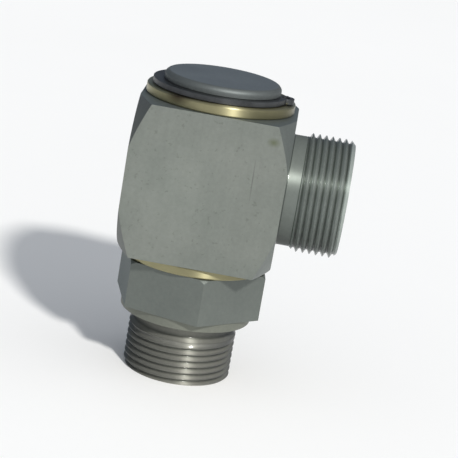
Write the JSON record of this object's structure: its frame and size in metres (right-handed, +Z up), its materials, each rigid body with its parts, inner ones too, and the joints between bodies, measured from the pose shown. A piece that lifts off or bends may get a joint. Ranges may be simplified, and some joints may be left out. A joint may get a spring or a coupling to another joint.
{
  "type": "hydraulic swivel elbow fitting",
  "caption": "Ninety degree hydraulic elbow whose ported block swivels on a hollow stem, held by a retaining ring between brass flanged bushes, with a threaded stud and hexagon below.",
  "frame": {"origin": "centre of the stud's end face, on the axis of the stem and its flow bore", "axes": "+Z up the stem towards its closed end, +X out of the block's side port at rest, +Y the way the right-hand rule gives"},
  "size_m": [0.0648, 0.0462, 0.0922],
  "materials": {
    "block_steel": "satin, zinc plated with an olive passivation",
    "stem_steel": "satin, zinc plated",
    "ring_steel": "phosphated spring steel",
    "brass": "turned",
    "seal_rubber": "matte",
    "backup_plastic": "matte"
  },
  "bodies": {
    "stem_group": {"stem": "stem_steel", "retaining_ring": "ring_steel", "upper_seal": "seal_rubber", "upper_backup_ring": "backup_plastic", "lower_seal": "seal_rubber", "lower_backup_ring": "backup_plastic"},
    "block_group": {"swivel_body": "block_steel", "upper_flange_bush": "brass", "lower_flange_bush": "brass"}
  },
  "joints": [
    {"name": "block_swivel", "type": "hinge", "parent": "stem_group", "child": "block_group", "pos_m": [0, 0, 0.06175], "axis": [0, 0, 1], "continuous": true}
  ]
}
